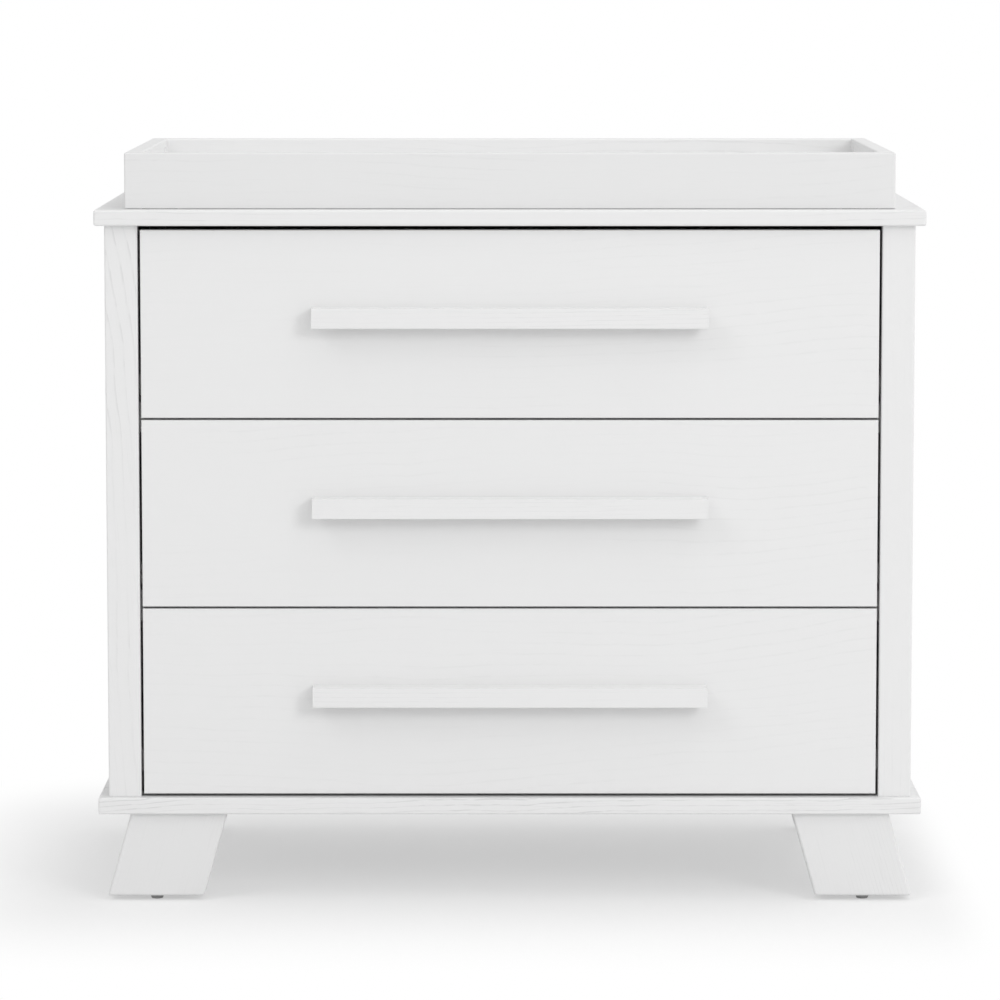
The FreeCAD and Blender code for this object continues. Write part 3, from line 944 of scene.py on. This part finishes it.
def add_turned(shape: bmesh.types.BMesh, profile: Sequence[tuple[float, float]], centre: Vector,
               facing: Vector, steps: int = 32) -> None:
    """Adds a turned form to a mesh.

    Args:
        shape: the mesh in construction.
        profile: radius and height of each ring, from the rim up to the middle of the face.
        centre: the middle of its base.
        facing: the way that its face looks.
        steps: corners in each ring.
    """
    turn = facing.to_track_quat("Z", "Y").to_matrix().to_4x4()
    place = Matrix.Translation(centre) @ turn
    rings = []
    for radius, height in profile:
        if radius == 0.0:
            rings.append([shape.verts.new(place @ Vector((0.0, 0.0, height)))])
            continue
        ring = []
        for step in range(steps):
            angle = 2 * math.pi * step / steps
            corner = Vector((radius * math.cos(angle), radius * math.sin(angle), height))
            ring.append(shape.verts.new(place @ corner))
        rings.append(ring)
    for outer, inner in zip(rings, rings[1:]):
        for step in range(steps):
            after = (step + 1) % steps
            if len(inner) == 1:
                shape.faces.new((outer[step], outer[after], inner[0]))
            elif len(outer) == 1:
                shape.faces.new((outer[0], inner[after], inner[step]))
            else:
                shape.faces.new((outer[step], outer[after], inner[after], inner[step]))


@dataclass(frozen=True)
class Head:
    """The head of a screw or nail.

    Its skirt is a share of its height, and the slots of its cross recess are shares of its radius.
    """

    radius: float
    height: float
    recess: float = 0.0
    skirt: float = 0.45
    slot_width: float = 0.14
    slot_reach: float = 0.6
    slot_taper: float = 0.6

    def profile(self) -> list[tuple[float, float]]:
        """Radius and height of the rings of a low dome on a short skirt.

        Returns:
            The rings, from the rim up to the middle.
        """
        rings = [(self.radius, 0.0), (self.radius, self.height * self.skirt)]
        for share in (0.94, 0.84, 0.70, 0.56, 0.42, 0.30, 0.18, 0.0):
            dome = (1 - self.skirt) * math.sqrt(1 - share ** 2)
            rings.append((self.radius * share, self.height * (self.skirt + dome)))
        return rings

    def add_to(self, shape: bmesh.types.BMesh, centre: Vector, facing: Facing) -> None:
        """Adds the head to a mesh and presses its cross recess.

        Args:
            shape: the mesh in construction.
            centre: the middle of its underside.
            facing: the way that it looks.
        """
        direction = Vector(facing.value)
        known = set(shape.verts)
        add_turned(shape, self.profile(), centre, direction)
        if not self.recess:
            return
        turn = direction.to_track_quat("Z", "Y").to_matrix().inverted()
        for vertex in shape.verts:
            if vertex in known:
                continue
            flat = turn @ (vertex.co - centre)
            short, long = sorted((abs(flat.x), abs(flat.y)))
            if short < self.radius * self.slot_width and long < self.radius * self.slot_reach:
                vertex.co -= direction * self.recess * (1 - self.slot_taper * long / self.radius)


@dataclass
class Fasteners:
    """A set of like plated heads that ride on one body."""

    name: str
    body: str
    head: Head
    facing: Facing
    places: list[Vector]
    finish: bpy.types.Material
    crease: float = 38.0

    def build(self) -> None:
        """Builds every head into one piece."""
        shape = bmesh.new()
        for centre in self.places:
            self.head.add_to(shape, centre, self.facing)
        bmesh.ops.recalc_face_normals(shape, faces=shape.faces)
        piece = smooth_piece(self.name, shape, self.crease)
        piece.data.materials.append(self.finish)
        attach(piece, self.body)
        log.info("built %s with %d heads", piece.name, len(self.places))


# --- Sub-assemblies ---


@dataclass
class Finishes:
    """The finishes that several pieces share, each made once."""

    drawer_board: bpy.types.Material
    drawer_end: bpy.types.Material
    inner_frame: bpy.types.Material
    inner_upright: bpy.types.Material
    back_board: bpy.types.Material
    slide_steel: bpy.types.Material
    roller_nylon: bpy.types.Material
    glide_nylon: bpy.types.Material
    zinc: bpy.types.Material
    felt: bpy.types.Material

    @classmethod
    def mixed(cls) -> Finishes:
        """Mixes every shared finish.

        Returns:
            The finishes.
        """
        primer = CoatedBoard(tone=grey(0.78), shade=grey(0.72), roughness=0.6, relief=0.00009)
        grey_nylon = Nylon(tone=grey(0.42), shade=grey(0.34))
        return cls(
            drawer_board=CoatedBoard().material("foil_lengthwise"),
            drawer_end=CoatedBoard(grain=Grain.ALONG_Y).material("foil_front_to_back"),
            inner_frame=primer.material("primer_lengthwise"),
            inner_upright=replace(primer, grain=Grain.ALONG_Z).material("primer_upright"),
            back_board=Hardboard().material("coated_hardboard"),
            slide_steel=PowderCoat().material("powder_coat"),
            roller_nylon=Nylon().material("roller_nylon"),
            glide_nylon=grey_nylon.material("glide_nylon"),
            zinc=ZincPlate().material("zinc_plate"),
            felt=Felt().material("felt"),
        )


def dress(frame: dict[str, Any], finish: bpy.types.Material, *nodes: str) -> None:
    """Gives carried-over nodes their finish.

    Args:
        frame: the loaded frame.
        finish: the material for all of each node.
        nodes: the nodes' names.
    """
    for node in nodes:
        for holder in frame["nodes"][node].material_slots:
            holder.material = finish
        log.info("dressed %s", node)


@dataclass
class Carcass:
    """Top, base, sides, posts and the frame between them, with the back panel's nails."""

    frame: dict[str, Any]
    finishes: Finishes
    panel_ease: float = 2.5 * MILLIMETRE
    base_ease: float = 2.0 * MILLIMETRE
    post_ease: float = 2.0 * MILLIMETRE
    nail_inset: float = 11.0 * MILLIMETRE
    nail_pitch: float = 0.14
    nail: Head = Head(3.0 * MILLIMETRE, 0.9 * MILLIMETRE)

    def boards(self) -> list[Board]:
        """The lacquered boards of the carcass.

        Returns:
            The boards, not yet built.
        """
        body = "carcass"
        under = (0.5, 0.15, -4.0)  # well below a flat panel, so that long lines run along its edge
        panel = Lacquer(ring_pitch=0.0055, sway=0.026, figure=0.32, pith_depth=0.012)
        base = Lacquer(ring_pitch=0.0042, sway=0.026, ripple=0.003, figure=0.75,
                       pith_depth=0.012, cover=0.38)
        post = Lacquer(ring_pitch=0.012, sway=0.050, figure=0.40, pith_depth=0.018, cover=0.46)
        plain_post = Lacquer(ring_pitch=0.009, sway=0.030, figure=0.13, pith_depth=0.018)
        flat, upright = Grain.ALONG_X, Grain.ALONG_Z
        ease = self.post_ease
        return [
            Board("top_panel", body, flat, Eased.ALL, self.panel_ease, 11.3, panel, heart=under),
            Board("base_panel", body, flat, Eased.ALL, self.base_ease, 4.7, base, heart=under),
            Board("left_side_panel", body, upright, Eased.NONE, ease, 23.1),
            Board("right_side_panel", body, upright, Eased.NONE, ease, 31.9),
            Board("left_front_post", body, upright, Eased.LENGTH, ease, 15.2, post, tilt=-0.09),
            Board("right_front_post", body, upright, Eased.LENGTH, ease, 7.6, plain_post),
        ]

    def nail_places(self) -> list[Vector]:
        """The nails round the edge of the back panel.

        Returns:
            The middle of the underside of each head.
        """
        low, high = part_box("back_panel")
        left, right = low[0] + self.nail_inset, high[0] - self.nail_inset
        bottom, top = low[2] + self.nail_inset, high[2] - self.nail_inset
        columns = round((right - left) / self.nail_pitch)
        rows = round((top - bottom) / self.nail_pitch)
        places = []
        for column in range(columns + 1):
            x = left + (right - left) * column / columns
            places += [Vector((x, high[1], bottom)), Vector((x, high[1], top))]
        for row in range(1, rows):
            z = bottom + (top - bottom) * row / rows
            places += [Vector((left, high[1], z)), Vector((right, high[1], z))]
        return places

    def build(self) -> None:
        """Builds the boards and nails and dresses the hidden frame."""
        for board in self.boards():
            board.build()
        dress(self.frame, self.finishes.inner_frame, "runner_cleats", "lower_front_rail",
              "upper_front_rail", "back_rails")
        dress(self.frame, self.finishes.inner_upright, "rear_posts")
        dress(self.frame, self.finishes.back_board, "back_panel")
        dress(self.frame, self.finishes.zinc, "leg_bolts")
        Fasteners("back_panel_nails", "carcass", self.nail, Facing.BACK, self.nail_places(),
                  self.finishes.zinc).build()


@dataclass
class Legs:
    """The four splayed legs and the glides under them."""

    finishes: Finishes
    ease: float = 3.0 * MILLIMETRE
    glide_radius: float = 8.0 * MILLIMETRE
    tread_radius: float = 6.8 * MILLIMETRE
    glide_height: float = 5.5 * MILLIMETRE
    flange: float = 1.2 * MILLIMETRE
    tread_round: float = 1.2 * MILLIMETRE
    nail_radius: float = 2.2 * MILLIMETRE
    nail_depth: float = 0.8 * MILLIMETRE
    nail_flare: float = 0.6 * MILLIMETRE
    crease: float = 40.0
    glide_corners: int = 40
    tread_steps: int = 4
    first_seed: float = 2.9
    next_seed: float = 3.7
    names: tuple[str, ...] = ("front_left_leg", "front_right_leg", "rear_left_leg",
                              "rear_right_leg")

    def slabs(self) -> list[SplayedLeg]:
        """The wooden part of each leg."""
        wood = Lacquer(ring_pitch=0.0042, sway=0.014, figure=0.30, pith_depth=0.020, tone=0.815)
        return [SplayedLeg(name, "carcass", Grain.ALONG_Z, Eased.ALL, self.ease,
                           self.first_seed + self.next_seed * index, wood)
                for index, name in enumerate(self.names)]

    def glide_profile(self) -> list[tuple[float, float]]:
        """Radius and height of the rings of a glide, with a rounded tread and a nail hole.

        Returns:
            The rings, from the bottom of the hole round to the middle of the top.
        """
        soft = self.tread_round
        rings = [(0.0, self.nail_depth), (self.nail_radius, self.nail_depth),
                 (self.nail_radius + self.nail_flare, 0.0)]
        for step in range(self.tread_steps + 1):
            angle = math.pi / 2 * step / self.tread_steps
            rings.append((self.tread_radius - soft + soft * math.sin(angle),
                          soft * (1 - math.cos(angle))))
        return rings + [(self.glide_radius, self.glide_height - self.flange),
                        (self.glide_radius, self.glide_height), (0.0, self.glide_height)]

    def build_glides(self) -> None:
        """Builds the glides as one piece."""
        shape = bmesh.new()
        upwards = Vector(Facing.UP.value)
        for slab in self.slabs():
            add_turned(shape, self.glide_profile(), slab.foot(), upwards, self.glide_corners)
        bmesh.ops.recalc_face_normals(shape, faces=shape.faces)
        piece = smooth_piece("turned_leg_glides", shape, self.crease)
        piece.data.materials.append(self.finishes.glide_nylon)
        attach(piece, "carcass")
        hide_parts("leg_glides")
        log.info("built %s", piece.name)

    def build(self) -> None:
        """Builds the legs and glides."""
        for slab in self.slabs():
            slab.build()
        self.build_glides()


@dataclass
class Drawer:
    """One drawer: its front and handle, its box, and its slides with their rollers."""

    frame: dict[str, Any]
    finishes: Finishes
    level: str
    seed: float
    front_ease: float = 1.5 * MILLIMETRE
    handle_ease: float = 1.5 * MILLIMETRE
    handle_screw: Head = Head(4.4 * MILLIMETRE, 2.3 * MILLIMETRE, 1.5 * MILLIMETRE)
    handle_screw_reach: float = 0.17
    handle_screw_drop: float = 6.8 * MILLIMETRE
    rail_screw: Head = Head(3.4 * MILLIMETRE, 0.35 * MILLIMETRE, 0.3 * MILLIMETRE)
    rail_screw_lift: float = 14.0 * MILLIMETRE
    rail_screw_pitch: float = 0.11
    rail_screw_start: float = 0.035
    rail_screw_end: float = 0.03
    rail_steel: float = 1.2 * MILLIMETRE

    @property
    def name(self) -> str:
        """The drawer's body."""
        return self.level + "_drawer"

    def build_handle_screws(self) -> None:
        """Builds the heads behind the front that hold the handle."""
        reach = self.handle_screw_reach
        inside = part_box(self.name + "_front")[1][1]
        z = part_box(self.name + "_handle")[1][2] - self.handle_screw_drop
        places = [Vector((x, inside, z)) for x in (-reach, 0.0, reach)]
        Fasteners(self.name + "_handle_screws", self.name, self.handle_screw, Facing.BACK, places,
                  self.finishes.zinc).build()

    def build_rail_screws(self) -> None:
        """Builds the flush heads that hold the rails to the sides of the box."""
        box_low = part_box(self.name + "_left_side")[0]
        rail_low, rail_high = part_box(self.name + "_rails")
        z = box_low[2] + self.rail_screw_lift
        for hand, side, facing in (("left", -1.0, Facing.LEFT), ("right", 1.0, Facing.RIGHT)):
            x = side * (abs(box_low[0]) + self.rail_steel)
            places = []
            y = rail_low[1] + self.rail_screw_start
            while y < rail_high[1] - self.rail_screw_end:
                places.append(Vector((x, y, z)))
                y += self.rail_screw_pitch
            Fasteners(f"{self.name}_{hand}_rail_screws", self.name, self.rail_screw, facing, places,
                      self.finishes.zinc).build()

    def build(self) -> None:
        """Builds the front, handle and screws and dresses the box and slides."""
        front = Lacquer(ring_pitch=0.012, sway=0.070, figure=0.12, pith_depth=0.045)
        bar = Lacquer(ring_pitch=0.0050, sway=0.014, figure=0.35, pith_depth=0.010,
                      ring_depth=0.00002)
        body = self.name
        Board(body + "_front", body, Grain.ALONG_X, Eased.FACE, self.front_ease, self.seed,
              front).build()
        HandleBar(body + "_handle", body, Grain.ALONG_X, Eased.ALL, self.handle_ease,
                  self.seed + 5.1, bar).build()
        shared = self.finishes
        dress(self.frame, shared.drawer_end, body + "_left_side", body + "_right_side")
        dress(self.frame, shared.drawer_board, body + "_back", body + "_bottom")
        dress(self.frame, shared.slide_steel, body + "_rails", body + "_cabinet_channels")
        dress(self.frame, shared.roller_nylon, body + "_front_rollers", body + "_rear_rollers")
        self.build_handle_screws()
        self.build_rail_screws()


@dataclass
class Tray:
    """The changing tray with its slats, pads and brackets."""

    frame: dict[str, Any]
    finishes: Finishes
    ease: float = 2.0 * MILLIMETRE
    bracket_steel: float = 2.0 * MILLIMETRE
    bracket_width: float = 26.0 * MILLIMETRE
    bracket_screw: Head = Head(3.4 * MILLIMETRE, 1.9 * MILLIMETRE, 1.2 * MILLIMETRE)
    slat_heart: tuple[float, float, float] = (0.02, 0.0, 0.79)
    slat_seed: float = 63.3

    def build_bracket_screws(self) -> None:
        """Builds two heads on the foot of each bracket."""
        low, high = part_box("tray_brackets")
        y = (low[1] + high[1] + self.bracket_steel) / 2
        inset = self.bracket_width / 4
        places = []
        for x in (low[0] + inset, low[0] + 3 * inset, high[0] - 3 * inset, high[0] - inset):
            places.append(Vector((x, y, low[2] + self.bracket_steel)))
        Fasteners("tray_bracket_screws", "tray", self.bracket_screw, Facing.UP, places,
                  self.finishes.zinc).build()

    def build(self) -> None:
        """Builds the walls and dresses the rest."""
        body = "tray"
        # Painted light and shade: the tray's lacquer is paler than the other boards' to brighten
        # the shaded inside of the tray, and the front board's copy is darker to dim its lit outer
        # face.
        wood = Lacquer(ring_pitch=0.011, sway=0.060, figure=0.24, pith_depth=0.022, tone=0.855)
        face = replace(wood, tone=0.798)
        Board("tray_front", body, Grain.ALONG_X, Eased.RIM, self.ease, 41.7, face).build()
        Board("tray_back", body, Grain.ALONG_X, Eased.RIM, self.ease, 47.2, wood).build()
        TrayEnd("tray_left_wall", body, Grain.ALONG_Y, Eased.CREST, self.ease, 52.4, wood).build()
        TrayEnd("tray_right_wall", body, Grain.ALONG_Y, Eased.CREST, self.ease, 58.8, wood).build()
        slats = Lacquer().material("lacquer_tray_slats", Grain.ALONG_Y, Vector(self.slat_heart),
                                   self.slat_seed)
        dress(self.frame, slats, "tray_slats")
        dress(self.frame, self.finishes.felt, "tray_pads")
        dress(self.frame, self.finishes.zinc, "tray_brackets")
        self.build_bracket_screws()


# --- Studio ---


@dataclass(frozen=True)
class Lamp:
    """A square soft lamp, which lights the dresser but shows neither in view nor reflected."""

    name: str
    offset: tuple[float, float, float]
    size: float
    level: float

    def build(self, aim: Vector) -> None:
        """Hangs the lamp, with a power that gives its level at the point it is aimed at.

        Args:
            aim: the point, which the lamp's offset counts from.
        """
        place = aim + Vector(self.offset)
        light = bpy.data.lights.new(self.name, "AREA")
        light.shape = "SQUARE"
        light.size = self.size
        reach = (aim - place).length
        light.energy = self.level * math.pi ** 2 * reach ** 2
        lamp = put_in_scene(self.name, light)
        lamp.visible_camera = False
        lamp.visible_glossy = False
        lamp.location = place
        lamp.rotation_euler = (aim - place).to_track_quat("-Z", "Y").to_euler()
        log.info("hung %s", self.name)


@dataclass
class Studio:
    """A pale floor, soft lamps, a white surround and the camera."""

    left_level: float = 0.57
    right_level: float = 0.852
    level_span: tuple[float, float] = (-0.3, 0.3)
    lamps: tuple[Lamp, ...] = (
        Lamp("key_lamp", (3.3, -4.8, 2.35), 1.7, 0.184),
        Lamp("fill_lamp", (-3.6, -3.2, 4.2), 2.5, 0.125),
        Lamp("top_lamp", (1.6, -0.4, 5.4), 4.0, 0.15),
    )
    aim: tuple[float, float, float] = (0.0, 0.0, 0.45)
    floor_reach: float = 14.0
    floor_tone: float = 0.82
    # Painted light on the floor: the share of glow that lightens the shadow next to the dresser,
    # and how far the glow reaches before full white on each side.
    shadow_lift: float = 0.46
    left_reach: float = 0.30
    right_reach: float = 0.08
    deep_reach: float = 0.38
    camera_place: tuple[float, float, float] = (-0.0112, -5.5214, 1.0715)
    camera_pitch: float = 5.937
    camera_lens: float = 168.23
    camera_shift: float = -0.05
    camera_sensor: float = 36.0
    camera_range: float = 100.0

    def build_surround(self) -> None:
        """The surround, brighter on the right and plain white where the camera sees it."""
        world = bpy.data.worlds.new("surround")
        bpy.context.scene.world = world
        world.use_nodes = True
        sheet = Sheet(world.node_tree)
        towards_right = sheet.object_axes()[0]
        sky = sheet.smoothed(towards_right, self.level_span, (self.left_level, self.right_level))
        seen = sheet.add("ShaderNodeLightPath", output="Is Camera Ray")
        strength = seen * (1.0 - sky) + sky
        shader = sheet.add("ShaderNodeBackground", None, {"Color": WHITE, "Strength": strength})
        sheet.add("ShaderNodeOutputWorld", None, {"Surface": shader})
        log.info("built the surround")

    @staticmethod
    def seen_directly(sheet: Sheet) -> Field:
        """One for camera, glossy and transmission rays, nothing for the rest.

        Args:
            sheet: the sheet that the nodes go on.

        Returns:
            The mask.
        """
        camera, glossy, through = (sheet.add("ShaderNodeLightPath", output=f"Is {kind} Ray")
                                   for kind in ("Camera", "Glossy", "Transmission"))
        return sheet.maths("MAXIMUM", sheet.maths("MAXIMUM", camera, glossy), through)

    def floor_material(self) -> bpy.types.Material:
        """A pale floor that keeps the shadow near the dresser, lightened there by a painted glow,
        and fades to white away from it, sooner on the right than on the left.

        Returns:
            The material.
        """
        material, sheet = new_material("studio_floor")
        low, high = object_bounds()
        across, deep, _ = sheet.object_axes()
        half = Vector(((high[0] - low[0]) / 2, (high[1] - low[1]) / 2))
        left = sheet.maths("MAXIMUM", -half.x - across, 0.0) / self.left_reach
        right = sheet.maths("MAXIMUM", across - half.x, 0.0) / self.right_reach
        past = sheet.maths("ABSOLUTE", deep) - half.y
        beyond = sheet.maths("MAXIMUM", past, 0.0) / self.deep_reach
        distance = ((left + right) ** 2 + beyond ** 2) ** 0.5
        # Painted light: a glow that only direct rays see lifts the floor's shadow by shadow_lift
        # and grows to white with distance, fastest on the right.
        painted_glow_mask = sheet.smoothed(distance, (0.0, 1.0), (self.shadow_lift, 1.0))
        matt = sheet.add("ShaderNodeBsdfDiffuse", None, {"Color": (*grey(self.floor_tone), 1.0)})
        white = sheet.add("ShaderNodeEmission", None, {"Color": WHITE, "Strength": 1.0})
        seen = self.seen_directly(sheet)
        mixed = sheet.add("ShaderNodeMixShader", None, {0: painted_glow_mask * seen, 1: matt, 2: white})
        sheet.add("ShaderNodeOutputMaterial", None, {"Surface": mixed})
        return material

    def build_floor(self) -> None:
        """Lays the floor, which isn't part of the dresser."""
        reach = self.floor_reach
        mesh = bpy.data.meshes.new("studio_floor")
        corners = [(x * reach, y * reach, 0.0) for x, y in ((-1, -1), (1, -1), (1, 1), (-1, 1))]
        mesh.from_pydata(corners, [], [(0, 1, 2, 3)])
        mesh.materials.append(self.floor_material())
        floor = put_in_scene("studio_floor", mesh)
        floor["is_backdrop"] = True
        log.info("laid the floor")

    def build_camera(self) -> None:
        """Sets up the camera at the photograph's viewing angle."""
        lens = bpy.data.cameras.new("camera")
        lens.sensor_width = self.camera_sensor
        lens.lens = self.camera_lens
        lens.shift_y = self.camera_shift
        lens.clip_end = self.camera_range
        camera = put_in_scene("camera", lens)
        camera.location = self.camera_place
        camera.rotation_euler = (math.radians(90.0 - self.camera_pitch), 0.0, 0.0)
        bpy.context.scene.camera = camera
        log.info("set up the camera")

    def build(self) -> None:
        """Builds the whole studio and sets how its light is shown."""
        self.build_surround()
        self.build_floor()
        for lamp in self.lamps:
            lamp.build(Vector(self.aim))
        self.build_camera()
        bpy.context.scene.view_settings.view_transform = "Standard"


def write_sizes() -> None:
    """Logs a line in place of the frame's box and the dressed dresser's box, which are not written.
    """
    log.info("wrote the sizes")


def main() -> None:
    """Builds the dresser round its frame, then the studio."""
    logging.basicConfig(level=logging.INFO, format="%(name)s: %(message)s")
    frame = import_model()
    finishes = Finishes.mixed()
    Studio().build()
    Carcass(frame, finishes).build()
    Legs(finishes).build()
    for level, seed in (("bottom", 71.2), ("middle", 83.9), ("top", 96.4)):
        Drawer(frame, finishes, level, seed).build()
    Tray(frame, finishes).build()
    write_sizes()


if __name__ == "__main__":
    main()
